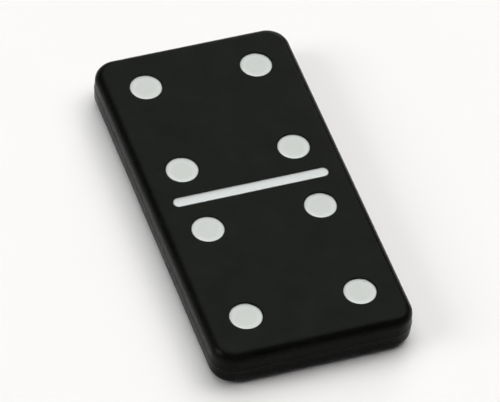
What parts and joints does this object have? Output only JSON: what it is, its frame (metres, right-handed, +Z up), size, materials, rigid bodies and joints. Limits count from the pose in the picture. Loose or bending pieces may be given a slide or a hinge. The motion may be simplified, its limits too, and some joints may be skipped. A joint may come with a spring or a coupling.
{
  "type": "domino tile",
  "caption": "Slim domino tile with rounded corners and edges; white enamelled pips and a dividing bar are sunk in its black face.",
  "frame": {"origin": "middle of the underside, on the table", "axes": "+Y along the tile, +X across it, +Z up out of the marked face"},
  "size_m": [0.02, 0.04, 0.004],
  "materials": {
    "black_plastic": "satin moulded plastic, very slightly grained",
    "white_enamel": "smooth off-white enamel, semi-gloss"
  },
  "bodies": {
    "root": {"tile_body": "black_plastic", "divider_enamel": "white_enamel", "pip_upper_outer_left": "white_enamel", "pip_upper_outer_right": "white_enamel", "pip_upper_inner_left": "white_enamel", "pip_upper_inner_right": "white_enamel", "pip_lower_outer_left": "white_enamel", "pip_lower_outer_right": "white_enamel", "pip_lower_inner_left": "white_enamel", "pip_lower_inner_right": "white_enamel"}
  },
  "joints": []
}
